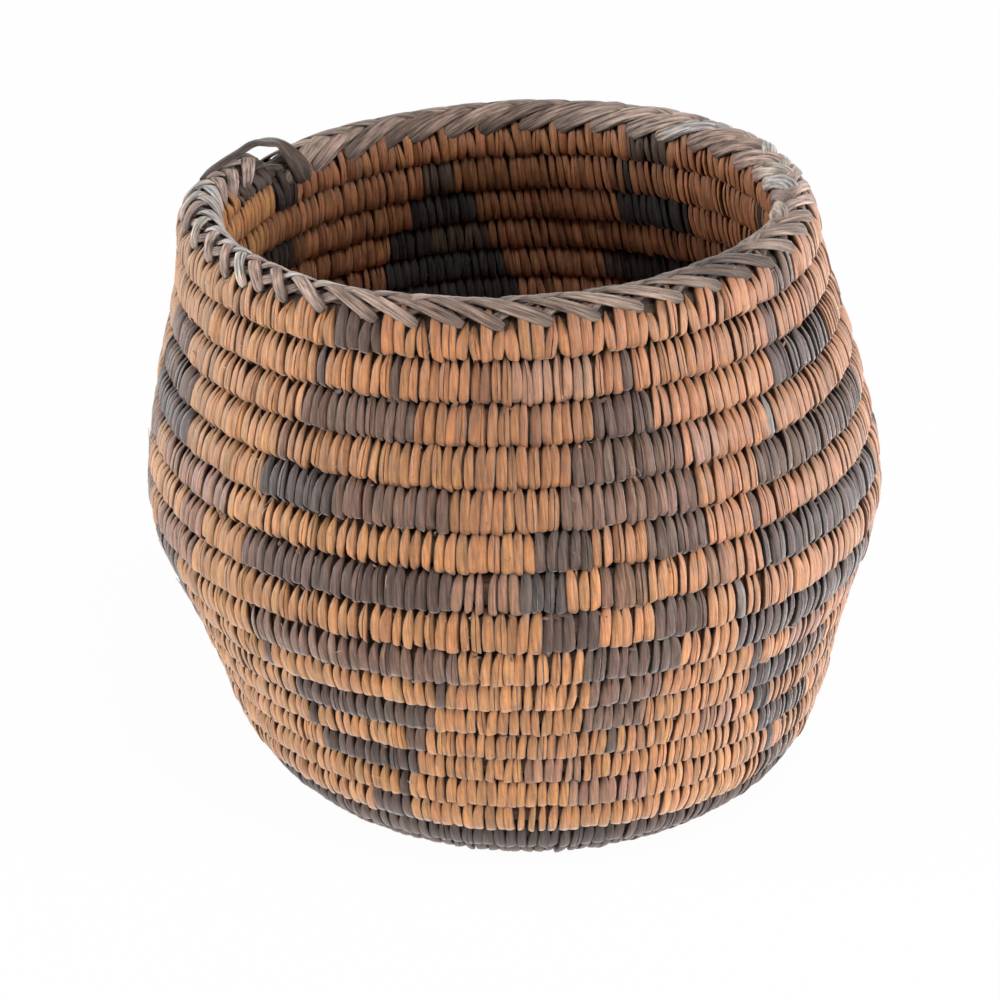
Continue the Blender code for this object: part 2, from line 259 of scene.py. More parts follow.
def place(turn, run, depth):
    """Points of the basket, with its lean, the slope of its rim and its flat foot."""
    turn, run, depth = np.broadcast_arrays(turn, run, depth)
    run = np.maximum(run, 0.0)
    radius = np.interp(run, RUNS, RADII) + depth * np.interp(run, RUNS, ALONG[:, 1])
    height = np.interp(run, RUNS, HEIGHTS) - depth * np.interp(run, RUNS, ALONG[:, 0])
    height = np.maximum(height, 0.0)
    angle = END_ANGLE + 2 * math.pi * turn
    slope = (RISE_RIGHT * np.cos(angle) - RISE_FRONT * np.sin(angle)) / RIM_HEIGHT
    across = LEAN * (height - BELLY_HEIGHT) + radius * np.cos(angle)
    return np.stack([across, radius * np.sin(angle), height * (1 + slope)], -1)


def end_share(turn):
    u = np.clip(np.asarray(turn, float) / END_TAPER, 0.0, 1.0)
    return END_HEIGHT + (1 - END_HEIGHT) * u * u * (3 - 2 * u)


def turn_span(turn):
    """Lower and upper limits of a row of sewing along the outline."""
    low = coil_run(np.asarray(turn) + 0.5)
    high = coil_run(np.asarray(turn) - 0.5)
    return low, low + (high - low) * end_share(turn)


def azimuth(turn):
    return END_AZIMUTH + 360 * (turn - np.floor(turn))


# Meshes

def put(name, data):
    made = bpy.data.objects.new(name, data)
    bpy.context.scene.collection.objects.link(made)
    return made


def mesh_piece(name, grid, closed, attributes, material, caps=False):
    """Bodies that share one pattern of quads: grid is bodies by rings by places round a ring."""
    count, rings, around = grid.shape[:3]
    index = np.arange(rings * around).reshape(rings, around)
    ahead = np.roll(index, -1, axis=0) if closed else index[1:]
    here = index if closed else index[:-1]
    quads = np.stack([here, ahead, np.roll(ahead, -1, axis=1), np.roll(here, -1, axis=1)], -1)
    quads = quads.reshape(-1, 4)
    if caps:
        half = around // 2
        for ring, flip in ((index[0], 1), (index[-1], -1)):
            strip = [[ring[k], ring[k + 1], ring[-2 - k], ring[-1 - k]][::flip] for k in range(half - 1)]
            quads = np.vstack([quads, np.array(strip)])
    faces = (quads[None] + (np.arange(count) * rings * around)[:, None, None]).reshape(-1, 4)
    points = grid.reshape(-1, 3)
    a, b, c, d = (points[faces[:len(quads), k]] for k in range(4))
    volume = np.einsum("ij,ij->i", a, np.cross(b, c) + np.cross(c, d)).sum()
    if volume < 0:
        faces = faces[:, ::-1]
    mesh = bpy.data.meshes.new(name)
    mesh.vertices.add(len(points))
    mesh.vertices.foreach_set("co", points.astype(np.float32).ravel())
    mesh.loops.add(faces.size)
    mesh.loops.foreach_set("vertex_index", faces.astype(np.int32).ravel())
    mesh.polygons.add(len(faces))
    mesh.polygons.foreach_set("loop_start", np.arange(0, faces.size, 4, dtype=np.int32))
    mesh.update(calc_edges=True)
    mesh.polygons.foreach_set("use_smooth", np.ones(len(faces), bool))
    mesh.set_sharp_from_angle(angle=math.radians(52))
    tone, fibre, dirt_and_shade = attributes
    colour = mesh.attributes.new("tone", "FLOAT_COLOR", "POINT")
    colour.data.foreach_set("color", as_points(tone, grid, 4))
    along = mesh.attributes.new("fibre", "FLOAT_VECTOR", "POINT")
    along.data.foreach_set("vector", as_points(fibre, grid, 3))
    shade = mesh.attributes.new("dirt_and_shade", "FLOAT", "POINT")
    shade.data.foreach_set("value", np.broadcast_to(dirt_and_shade, grid.shape[:3]).astype(np.float32).ravel())
    mesh.materials.append(material)
    return put(name, mesh)


def as_points(value, grid, width):
    """A value for each point of the grid, filled up with ones to the attribute's width."""
    value = np.broadcast_to(value, grid.shape[:3] + (value.shape[-1],))
    if value.shape[-1] < width:
        value = np.concatenate([value, np.ones(value.shape[:3] + (1,))], -1)
    return value.astype(np.float32).ravel()


# Materials

def node(tree, kind, **inputs):
    made = tree.nodes.new(kind)
    for key, value in inputs.items():
        made.inputs[key.replace("_", " ")].default_value = value
    return made


def feed(tree, socket, value):
    """Give an input its value: a number, a colour or another node's output."""
    if isinstance(value, (float, tuple)):
        socket.default_value = value
    else:
        tree.links.new(value, socket)


def worked_out(tree, operation, first, second):
    made = tree.nodes.new("ShaderNodeMath")
    made.operation = operation
    feed(tree, made.inputs[0], first)
    feed(tree, made.inputs[1], second)
    return made.outputs["Value"]


def ranged(tree, value, low, high, start=0.0, end=1.0, curve="LINEAR"):
    """A value that runs from start to end, turned into one that runs from low to high."""
    made = node(tree, "ShaderNodeMapRange", From_Min=start, From_Max=end, To_Min=low, To_Max=high)
    made.interpolation_type = curve
    feed(tree, made.inputs["Value"], value)
    return made.outputs["Result"]


def scaled(tree, colour, factor):
    made = tree.nodes.new("ShaderNodeVectorMath")
    made.operation = "SCALE"
    feed(tree, made.inputs[0], colour)
    feed(tree, made.inputs["Scale"], factor)
    return made.outputs["Vector"]


def mixed(tree, factor, under, over, blend="MIX"):
    made = tree.nodes.new("ShaderNodeMix")
    made.data_type = "RGBA"
    made.blend_type = blend
    for socket, value in (("Factor", factor), ("A", under), ("B", over)):
        feed(tree, made.inputs[socket], value)
    return made.outputs["Result"]


def noise(tree, place, **inputs):
    made = node(tree, "ShaderNodeTexNoise", **inputs)
    feed(tree, made.inputs["Vector"], place)
    return made.outputs["Fac"]


def splint_material(name, roughness, streak, wear, spots, sheen, gloss):
    """Split plant fibre: streaks along the strand, soft blotches, dirt and painted shade in the grooves, worn
    crests.
    """
    material = bpy.data.materials.new(name)
    material.use_nodes = True
    tree = material.node_tree
    shader = tree.nodes["Principled BSDF"]
    shader.inputs["Specular IOR Level"].default_value = gloss
    shader.inputs["Sheen Roughness"].default_value = 0.3
    tone, fibre, dirt_and_shade = (tree.nodes.new("ShaderNodeAttribute") for _ in range(3))
    tone.attribute_name = "tone"
    fibre.attribute_name = "fibre"
    dirt_and_shade.attribute_name = "dirt_and_shade"
    stretch = node(tree, "ShaderNodeMapping", Scale=FIBRE_STRETCH)
    feed(tree, stretch.inputs["Vector"], fibre.outputs["Vector"])
    along = stretch.outputs["Vector"]
    body = tree.nodes.new("ShaderNodeTexCoord").outputs["Object"]

    streaks = noise(tree, along, Scale=1.0, Detail=4.0, Roughness=0.65, Distortion=0.3)
    streaked = ranged(tree, streaks, 1.0 - streak, 1.0 + streak * 0.7, 0.36, 0.66)
    blotches = noise(tree, body, Scale=420.0, Detail=3.0, Roughness=0.6)
    strength = worked_out(tree, "MULTIPLY", streaked, ranged(tree, blotches, 0.84, 1.12, 0.3, 0.7))
    lit = scaled(tree, tone.outputs["Color"], strength)
    specks = noise(tree, body, Scale=1500.0, Detail=2.0, Roughness=0.5)
    spotted = mixed(tree, ranged(tree, specks, 0.0, spots, 0.66, 0.74), lit, SPECK)
    # Dirt and painted shade, multiplied in where the grooves' attribute is high
    grimy_and_shaded = mixed(tree, dirt_and_shade.outputs["Fac"], spotted, GRIME_AND_SHADE, "MULTIPLY")
    scuffs = noise(tree, along, Scale=0.45, Detail=5.0, Roughness=0.7)
    paler = scaled(tree, tone.outputs["Color"], RUBBED_PALER)
    rubbed = mixed(tree, ranged(tree, scuffs, 0.0, wear, 0.62, 0.8), grimy_and_shaded, paler)
    bump = node(tree, "ShaderNodeBump", Strength=0.8, Distance=0.0003)
    feed(tree, bump.inputs["Height"], streaks)
    feed(tree, shader.inputs["Base Color"], rubbed)
    feed(tree, shader.inputs["Sheen Weight"], worked_out(tree, "MULTIPLY", tone.outputs["Alpha"], sheen))
    feed(tree, shader.inputs["Roughness"], ranged(tree, streaks, roughness - 0.1, roughness + 0.14))
    feed(tree, shader.inputs["Normal"], bump.outputs["Normal"])
    return material


# The worked pattern: for each row, spans of azimuth in degrees and their tone

STRIPES_LEFT = {
    1: [(-28, -20)], 2: [(-31.8, -30.2), (-19.4, -17.7)], 3: [(-34, -14.4)],
    4: [(-38.9, -37.3, "brown")], 5: [(-42, -10)], 7: [(-45.6, -10)], 9: [(-46, -9)],
    10: [(-43.9, -42.2), (-14.4, -12.7)], 11: [(-40, -15)], 12: [(-39.9, -38.2), (-19.6, -17.9)],
    13: [(-38, -20)], 14: [(-23.9, -22.2)], 15: [(-31, -23)],
}
STRIPES_RIGHT = {
    1: [(55, 63)], 2: [(52.1, 53.8), (67.1, 68.8)], 3: [(51, 71)], 4: [(46.1, 47.8, "grey")],
    5: [(42, 80)], 6: [(38.6, 40.3)], 7: [(40.5, 77)], 9: [(35.6, 75)], 10: [(38.8, 40.5)],
    11: [(40, 62)], 12: [(42, 46)], 13: [(46, 60)], 14: [(49.1, 50.8)], 15: [(48, 62)],
}
STRIPES_BACK = {
    1: [(141, 150)], 2: [(150.5, 152.3)], 3: [(137, 154)], 5: [(131, 160)], 7: [(131, 164)],
    9: [(130, 165)], 10: [(133, 134.7), (162, 163.7)], 11: [(134, 161)], 13: [(139, 157)],
    14: [(147, 148.7)], 15: [(143, 152)],
}
STRIPES_SEAM = {
    1: [(-123, -108), (229, 237)],
    3: [(228, 241)], 5: [(223, 252)], 7: [(222, 256)],
    9: [(221, 257)], 10: [(225, 226.7), (253, 254.7)], 11: [(226, 252)], 13: [(230, 248)],
    15: [(234, 243)],
}
STEPS_FRONT = {
    2: [(20.5, 22.2)], 3: [(15.3, 25)], 4: [(11, 29.4)], 5: [(7.4, 30)], 6: [(4.1, 12.6), (20, 30)],
    7: [(0, 7.2), (13.3, 20, "brown"), (30, 33, "brown")],
    8: [(4.1, 12.8), (20, 30), (34.1, 35.8, "grey")], 9: [(10, 25)], 10: [(10.2, 22.8)],
    11: [(10.2, 18.9)], 12: [(13, 15.3)],
}
STEPS_LEFT = {
    2: [(-75, -73.3)], 3: [(-80, -67)], 4: [(-82, -63)], 5: [(-84, -62)],
    6: [(-87, -77), (-72, -59, "brown")], 7: [(-90, -82), (-63, -56, "brown")],
    8: [(-87, -79), (-73, -59, "brown")], 9: [(-82, -65)], 10: [(-82, -68)], 11: [(-80, -71)],
    12: [(-77, -74)],
}
STEPS_RIGHT = {
    2: [(108, 109.7)], 3: [(103, 113)], 4: [(99, 117)], 5: [(95, 119)], 6: [(92, 101), (108, 119)],
    7: [(88, 95), (117, 121)], 8: [(92, 101), (108, 119)], 9: [(98, 114)], 10: [(98, 111)],
    11: [(98, 107)], 12: [(101, 104)],
}
STEPS_BACK = {
    2: [(190, 196.5)], 3: [(186, 199)], 4: [(183, 203)], 5: [(180, 205)], 6: [(178, 206)],
    7: [(176, 206)], 8: [(179, 205)], 9: [(184, 202)], 10: [(185, 199)], 11: [(186, 195)],
    12: [(189, 192)],
}
MOTIFS = (STRIPES_LEFT, STRIPES_RIGHT, STRIPES_BACK, STRIPES_SEAM,
          STEPS_FRONT, STEPS_LEFT, STEPS_RIGHT, STEPS_BACK)
BROWN_RUNS = {                  # plain stretches sewn with a browner splint
    7: [(-10, 0), (57, 60)], 13: [(0, 10)], 14: [(6, 22)], 12: [(30, 38)], 4: [(31, 36)],
    2: [(2, 16)], 6: [(-60, -50)], 10: [(48, 56)],
}
THIN_RUNS = {                   # places where the stitches stand apart and the bundle shows
    4: [(-37, -33)], 7: [(-8, -2)], 8: [(-9, -5), (36, 40)], 13: [(7, 12)], 15: [(-5, 3)],
}


def span_tone(spans, row, angle):
    for found in spans.get(row, ()):
        if found[0] <= angle <= found[1]:
            return found[2] if len(found) > 2 else "dark"
    return None


def worked_tone(turn):
    """The pattern's tone at a stitch. A figure over the coil's end runs on into the row below."""
    row = int(turn) + 1
    angle = float(azimuth(turn))
    if row == WALL_TURNS:
        return "dark"
    for spans in MOTIFS:
        found = span_tone(spans, row, angle) or span_tone(spans, row - 1, angle + 360)
        if found:
            return found
    return None


# Stitches

OUT_V = np.array([0, 0.02, 0.06, 0.13, 0.26, 0.42, 0.57, 0.69, 0.78, 0.86, 0.94, 1.0])
OUT_WIDTH = np.array([0.58, 0.82, 0.95, 1.0, 1.0, 1.0, 0.97, 0.89, 0.75, 0.56, 0.34, 0.12])
IN_V = np.array([1.0, 0.92, 0.78, 0.58, 0.38, 0.2, 0.07, 0.0])
IN_WIDTH = np.array([0.35, 0.68, 0.92, 1.0, 1.0, 0.96, 0.85, 0.7])
ACROSS = np.array([-1, -0.9, -0.5, -0.05, 0.07, 0.19, 0.56, 0.9, 1.0, 0.85, -0.85])
RAISED = np.array([-0.35, 0.66, 0.93, 1.0, 1.0, 1.0, 0.92, 0.64, -0.35, -1.0, -1.0])
MIDDLE = 4                      # the place across a stitch where a crease runs
FOOT_SHARE = 0.17               # part of a stitch's face over which its foot rounds off
FOOT_DROP = 1.35 * MM
TIP_FROM = 0.45                 # where its long slope to the tip begins
TIP_DROP = 1.45 * MM
TOP_STITCH = 2.0                # degrees between the stitches of the top row
DARK_BASE_ROWS = ("base_course_01", "base_course_06", "base_course_07")


def face_drop(v):
    """How far a stitch lies in from the crest of its row: round at its foot, a long slope to its tip."""
    foot = np.clip((FOOT_SHARE - v) / FOOT_SHARE, 0, 1) ** 1.8 * FOOT_DROP
    return foot + np.clip((v - TIP_FROM) / (1 - TIP_FROM), 0, 1) ** 1.9 * TIP_DROP


def stitch_grid(turns, per_turn, look):
    """Bands that wrap the coil: bodies by places round the coil by places across the band."""
    count = len(turns)
    low, high = turn_span(turns)
    v = np.concatenate([OUT_V, IN_V])
    outside = np.arange(len(v)) < len(OUT_V)
    width = np.concatenate([OUT_WIDTH, IN_WIDTH])[None] * np.ones((count, 1))
    leaf = np.sin(np.pi * np.clip(v * 0.9 + 0.08, 0, 1)) ** 0.8
    width = width * (1 - look["leaf"][:, None]) + width * leaf[None] * look["leaf"][:, None]
    broad = look["broad"][:, None]
    width = width * (1 - broad) + np.minimum(1, width + 0.45) * broad
    width = width * (1 - look["point"][:, None] * (np.clip((v - 0.48) / 0.4, 0, 1) * outside)[None])
    foot = (low - BOTTOM_LAP - look["foot"])[:, None]
    tip = (high + TIP_LAP * end_share(turns) + look["tip"])[:, None]
    run = foot + (tip - foot) * v[None]
    drop = face_drop(v)[None] * look["round"][:, None] - look["proud"][:, None]
    depth = np.where(outside[None], FACE - drop, -(FACE - drop))
    bend = (v[None] - 0.45) * look["lean"][:, None] + look["bow"][:, None] * (v[None] - 0.5) ** 2
    bend = bend + look["skew"][:, None] * np.clip((v[None] - 0.66) / 0.34, 0, 1) ** 1.4
    half = 0.5 * width * look["width"][:, None]
    offset = half[:, :, None] * ACROSS[None, None] + bend[:, :, None]
    twist = look["twist"][:, None, None] * ACROSS[None, None]
    raised = np.where(RAISED > 0, RAISED * DOME, RAISED * SPLINT)
    lift = raised[None, None] * np.minimum(1, width + 0.2)[:, :, None]
    lift = lift + np.where(RAISED > -1, 1.0, 0.0)[None, None] * twist
    lift[:, :, MIDDLE] -= look["crease"][:, None]
    cut = np.clip(1 - v / 0.22, 0, 1) * outside
    run = run[:, :, None] + (look["slant"][:, None] * cut[None])[:, :, None] * ACROSS[None, None]
    sign = np.where(outside, 1.0, -1.0)[None, :, None]
    turn = turns[:, None, None] + offset / per_turn[:, None, None]
    grid = place(turn, run, depth[:, :, None] + sign * lift)
    across = offset / per_turn[:, None, None] * 2 * math.pi * 50 * MM
    along = run * sign
    seed = look["seed"][:, None, None]
    fibre = stacked(across + seed, along, seed)
    # Dirt and painted shade: darker at a stitch's edges and where its foot and tip tuck in
    edge = np.clip(1 - RAISED, 0, 1) ** 1.25
    ends = np.clip(face_drop(v) / (1.5 * MM), 0, 1)
    dirt_and_shade = np.clip(0.95 * edge[None] + 0.6 * ends[:, None] ** 1.6, 0, 1)
    return grid, fibre, np.broadcast_to(dirt_and_shade[None], across.shape)


def stitch_tones(turns):
    """Colour of each stitch: the pattern first, then the splint that this run was sewn with."""
    rng = np.random.default_rng(7)
    count = len(turns)
    kinds = np.array([worked_tone(t) or "plain" for t in turns], dtype=object)
    tones = np.empty((count, 3))
    left = 0
    splint = np.array(TAN)
    previous = None
    for i in range(count):
        angle = float(azimuth(turns[i]))
        row = int(turns[i]) + 1
        kind = kinds[i]
        if kind == "plain" and span_tone(BROWN_RUNS, row, angle):
            kind = "brown run"
        if left <= 0 or kind != previous:
            left = int(rng.integers(6, 22))
            splint = splint_colour(rng, kind, row, angle)
        tones[i] = splint * rng.uniform(0.9, 1.1) * (1 + rng.normal(0, 0.025, 3))
        if kind == "plain" and rng.random() < 0.05:
            tones[i] *= rng.uniform(0.62, 0.82)
        left -= 1
        previous = kind
    return np.clip(tones, 0.01, 0.9), kinds


def painted_flank_highlight(angle, dark):
    """Painted highlight: how much paler and greyer the outside of each splint is painted, most at the two
    flanks.
    """
    natural = np.where(angle[:, None] < 0, FLANK_HIGHLIGHT_LEFT, FLANK_HIGHLIGHT_RIGHT)
    gain = np.where(dark[:, None], FLANK_HIGHLIGHT_DARK, natural)
    return 1 + at_azimuth(angle, FLANK_HIGHLIGHT_SHARE)[:, None] * gain


def tones_round(tones, dark, flank_highlight, row):
    """Tones round each stitch: a painted highlight outside on the flanks, and inside painted light that grows
    the deeper it lies.
    """
    inside = np.arange(len(OUT_V) + len(IN_V)) >= len(OUT_V)
    # Painted light and shade inside, growing with the row's depth
    natural = INSIDE_PAINTED_LIGHT * (1 + INSIDE_PAINTED_LIGHT_DEEPER * min(row, 9))
    painted_inside_light = np.where(dark[:, None], INSIDE_DARK_PAINTED_LIGHT + INSIDE_DARK_PAINTED_LIGHT_DEEPER * min(row, 5), natural)
    shade = np.where(inside[None, :, None], painted_inside_light[:, None], flank_highlight[:, None])
    nap = np.where(inside, 0.15, 1.0 if row < WALL_TURNS else 0.3)[None, :, None]
    nap = nap * (1 - 0.8 * np.clip(1 - RAISED, 0, 1))[None, None] * np.ones((len(tones), 1, 1))
    colour = np.minimum(tones[:, None] * shade, 0.9)[:, :, None] * np.ones((1, 1, len(RAISED), 1))
    return np.concatenate([colour, nap[..., None]], -1)


def splint_colour(rng, kind, row, angle):
    if kind == "dark":
        pick = rng.random()
        blue = angle > 32 or row == 6 and angle > 15 or row == 5 and angle < -35
        cool = 0.6 if blue else 0.06
        base = BLUE_GREY if pick < cool else CHARCOAL if pick < 0.6 + cool * 0.4 else UMBER
        return np.array(base) * rng.uniform(0.85, 1.35)
    if kind == "grey":
        return np.array(GREY)
    if kind in ("brown", "brown run"):
        base = np.array(BROWN) if kind == "brown run" else (np.array(BROWN) * 0.45 + np.array(UMBER) * 0.55)
        return base * rng.uniform(0.9, 1.15)
    warm = np.clip(0.5 - angle / 110 + (row - 8) * 0.035, 0, 1)
    base = np.array(ROSE) * (1 - warm) + np.array(OCHRE) * warm
    plain = 0.5 * base + 0.5 * np.array(TAN)
    # Painted shade: the top rows at the front are darker
    top_front_shade = np.interp(row, [1, 4, 7], [1, 0.8, 0]) * np.interp(angle, [-35, -15, 45, 65], [0, 1, 1, 0])
    return plain * (1 - top_front_shade * np.array([0.14, 0.19, 0.24])) * rng.uniform(0.79, 0.99)


def stitch_look(turns, rng):
    """Hand-made unevenness of each stitch, in shares of the stitch's pitch or in metres."""
    count = len(turns)
    angle = azimuth(turns)
    row = np.floor(turns).astype(int) + 1
    lean = 0.32 + 0.25 * np.clip((-20 - angle) / 40, 0, 1) + rng.normal(0, 0.17, count)
    thin = np.array([bool(span_tone(THIN_RUNS, r, a)) for r, a in zip(row, angle)])
    width = rng.normal(1.06, 0.055, count) - np.where(rng.random(count) < 0.06, 0.2, 0.0)
    width = np.where(thin, width * rng.uniform(0.68, 0.9, count), width)
    leaf = np.clip(rng.normal(0.0, 0.17, count), 0, 0.8)
    leafy = np.isin(row, (6, 8)) & (angle > -40) & (angle < -12)
    leaf = np.where(leafy, 0.85, leaf)
    return {
        "lean": lean,
        "bow": rng.normal(0.15, 0.25, count),
        "width": np.clip(width, 0.55, 1.2),
        "leaf": leaf,
        "broad": np.clip(rng.normal(0.0, 0.2, count), 0, 0.8),
        "point": at_azimuth(angle, POINTED),
        "skew": rng.normal(0.05, 0.15, count),
        "foot": rng.normal(0, 0.15 * MM, count),
        "tip": rng.normal(0, 0.22 * MM, count),
        "round": rng.normal(1.0, 0.08, count),
        "proud": rng.normal(0, 0.07 * MM, count),
        "twist": rng.normal(-0.06 * MM, 0.14 * MM, count),
        "slant": rng.normal(-0.1 * MM, 0.18 * MM, count),
        "crease": np.where(rng.random(count) < 0.13, rng.uniform(0.15, 0.55, count), 0.0) * MM,
        "seed": rng.uniform(0, 40, count),
    }


def stitches_per_turn(turn):
    """Stitches in a turn: even up the wall, fewer and fewer towards the start."""
    lower = np.interp(turn, [0, 12.6, 14.5, 16], [WALL_STITCHES, WALL_STITCHES, 178, 152])
    radius = np.interp(coil_run(turn), RUNS, RADII)
    base = 2 * math.pi * np.maximum(radius, 3 * MM) / STITCH_PITCH
    return np.where(turn < WALL_TURNS, lower, base)


def stitch_turns(first, last):
    """Where the stitches sit along the coil."""
    fine = np.arange(first, last, 0.0005)
    number = np.cumsum(stitches_per_turn(fine) * 0.0005)
    places = np.arange(0.5, number[-1], 1.0)
    return np.interp(places, number, fine)


def rows():
    """Names of the rows of sewing, with the turns that they cover."""
    for k in range(WALL_TURNS):
        yield f"wall_course_{k + 1:02d}", k, k + 1
    base_rows = int(BASE_TURNS)
    for k in range(base_rows):
        last = COIL_END if k == base_rows - 1 else WALL_TURNS + k + 1
        yield f"base_course_{k + 1:02d}", WALL_TURNS + k, last


def top_row(rng):
    """The top row's stitches: a short pair leans together under each tip of the braid, others reach up."""
    tips = braid_tips()
    angles = []
    short = []
    pair = []
    for here, after in zip(tips, tips[1:]):
        number = max(3, round((after - here) / TOP_STITCH))
        for k in range(number):
            share = (k + 0.5) / number
            angles.append(here + share * (after - here))
            short.append(k in (0, number - 1))
            pair.append(1.0 if k == number - 1 else -1.0 if k == 0 else 0.0)
    ends = np.arange(tips[0] - 1, END_AZIMUTH + 1, -TOP_STITCH)[::-1]
    rest = np.arange(tips[-1] + 1, END_AZIMUTH + 359, TOP_STITCH)
    angles = np.concatenate([ends, angles, rest])
    short = np.concatenate([np.zeros(len(ends), bool), short, np.zeros(len(rest), bool)])
    pair = np.concatenate([np.zeros(len(ends)), pair, np.zeros(len(rest))])
    places = (angles - END_AZIMUTH) / 360
    gaps = np.gradient(places)
    look = stitch_look(places, rng)
    look["lean"] = look["lean"] * 0.5 + pair * 0.4
    look["tip"] = look["tip"] - np.where(short, 0.9 * MM, -0.45 * MM) - TIP_LAP
    look["leaf"] = np.where(short, 0.5, 0.1)
    look["round"] = look["round"] * 1.2
    look["broad"] = np.where(short, 0.0, 0.9)
    return places, look, 1 / gaps


def sew(materials):
    """All the sewing, a natural and a dark piece for each row."""
    rng = np.random.default_rng(3)
    pieces = []
    for name, first, last in rows():
        if name == "wall_course_01":
            turns, look, per_turn = top_row(rng)
        else:
            turns = ALL_TURNS[(ALL_TURNS >= first) & (ALL_TURNS < last)]
            turns = turns + rng.normal(0, 0.07, len(turns)) / stitches_per_turn(turns)
            look = stitch_look(turns, rng)
            per_turn = stitches_per_turn(turns)
        tones, kinds = stitch_tones(turns)
        if first >= WALL_TURNS:
            dark = np.full(len(turns), name in DARK_BASE_ROWS)
            plain = np.array(TAN) * rng.uniform(0.8, 1.05, (len(turns), 1))
            tones = np.where(dark[:, None], np.array(CHARCOAL) * 1.2, plain)
        else:
            dark = np.isin(kinds, ("dark", "grey", "brown"))
        # Painted shade: the lowest row is darker
        if name == "wall_course_16":
            tones = tones * LOWEST_ROW_SHADE
        # Painted highlight outside on the flanks, painted light and shade inside
        tones = tones_round(tones, dark, painted_flank_highlight(azimuth(turns), dark), int(first) + 1)
        grid, fibre, dirt_and_shade = stitch_grid(turns, per_turn, look)
        for share, slot, wanted in (("natural", "natural_splint", ~dark), ("dark", "dark_splint", dark)):
            if not wanted.any():
                continue
            piece = mesh_piece(f"{name}_{share}", grid[wanted], True,
                               (tones[wanted], fibre[wanted], dirt_and_shade[wanted]), materials[slot])
            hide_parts(name)
            pieces.append(piece)
    return pieces


# Loose ends

TAILS = 620
FIBRES = 260
FIBRE_WIDTH = 0.065 * MM


def wall_strip(turn, run, depth, slant, length, lift, bend, steps):
    """Middle lines of short strips on the wall: slant is their angle from the row, lift their rise."""
    w = np.linspace(-0.5, 0.5, steps)
    radius = np.interp(coil_run(turn), RUNS, RADII)
    along = length[:, None] * w[None]
    curve = bend[:, None] * (4 * w[None] ** 2 - 1)
    over = along * np.cos(slant)[:, None] - curve * np.sin(slant)[:, None]
    up = along * np.sin(slant)[:, None] + curve * np.cos(slant)[:, None]
    rise = lift[:, None] * (w[None] + 0.5) ** 1.5
    at = turn[:, None] + over / (2 * math.pi * radius[:, None])
    lift = depth[:, None] + rise
    return place(at, run[:, None] + up, lift), place(at, run[:, None] + up, lift + MM)


def ribbon_round(line, above, width, thick, across, raised):
    """A ring of points round each point of the strips' middle lines."""
    up = (above - line) / MM
    side = unit(np.cross(unit(np.gradient(line, axis=1)), up))
    reach = width[..., None, None] / 2 * across[:, None] * side[..., None, :]
    return line[..., None, :] + reach + (thick[..., None] * raised)[..., None] * up[..., None, :]


def loose_ends(materials):
    """Clipped splint ends that lie between the rows, and fine fibres that stand off the sewing."""
    rng = np.random.default_rng(29)
    count = TAILS
    turn = rng.uniform(1.0, 15.0, count)
    run = turn_span(turn)[0] + rng.normal(-0.75, 0.4, count) * MM
    slant = rng.normal(0.25, 0.5, count) + np.where(rng.random(count) < 0.4, math.pi / 2.6, 0.0)
    length = rng.uniform(0.9, 2.6, count) * MM
    depth = np.full(count, FACE - 0.85 * MM)
    line, above = wall_strip(turn, run, depth, slant, length, rng.uniform(0.2, 1.1, count) * MM,
                             rng.normal(0, 0.25, count) * MM, 6)
    w = np.linspace(0, 1, 6)
    width = rng.uniform(0.3, 0.8, count)[:, None] * MM * np.interp(w, [0, 0.2, 0.8, 1], [0.5, 1, 0.95, 0.6])
    across = np.array([-1.0, -0.5, 0.5, 1.0, 0.6, -0.6])
    raised = np.array([0.0, 1.0, 1.0, 0.0, -0.8, -0.8])
    grid = ribbon_round(line, above, width, np.full(width.shape, 0.16 * MM), across, raised)
    pick = rng.random((count, 1))
    tone = np.where(pick < 0.6, np.array(BROWN) * 0.7, np.array(UMBER) * 0.8)
    tone = np.where(pick < 0.3, np.array(TAN) * 0.75, tone)
    fibre = stacked(across * 0.4 * MM + rng.uniform(0, 20, (count, 1, 1)), (w * 2 * MM)[None, :, None], 0.0)
    tails = mesh_piece("splint_tails", grid, False, (tone[:, None, None], fibre, 0.15),
                       materials["natural_splint"], caps=True)
    count = FIBRES
    turn = rng.uniform(-0.02, 14.5, count) % 14.5
    low, high = turn_span(turn)
    run = low + (high - low) * rng.uniform(0, 1, count)
    depth = FACE + rng.uniform(0.05, 0.4, count) * MM - face_drop((run - low) / (high - low))
    slant = rng.uniform(0, math.pi, count)
    length = rng.uniform(1.0, 4.5, count) * MM
    line, above = wall_strip(turn, run, depth, slant, length, rng.uniform(0, 0.5, count) * MM,
                             rng.normal(0, 0.5, count) * MM, 7)
    width = np.full((count, 7), FIBRE_WIDTH) * rng.uniform(0.7, 1.4, (count, 1))
    square = np.array([-1.0, 1.0, 1.0, -1.0])
    grid = ribbon_round(line, above, width, width / 2, square, np.array([1.0, 1.0, -1.0, -1.0]))
    tone = np.array(STRAW) * rng.uniform(0.4, 1.0, (count, 1))
    fibres = mesh_piece("stray_fibres", grid, False, (tone[:, None, None], np.zeros(3), 0.0),
                        materials["natural_splint"], caps=True)
    return [tails, fibres]


# The bundle of rods

BUNDLE_STEPS = 112              # rings in a turn


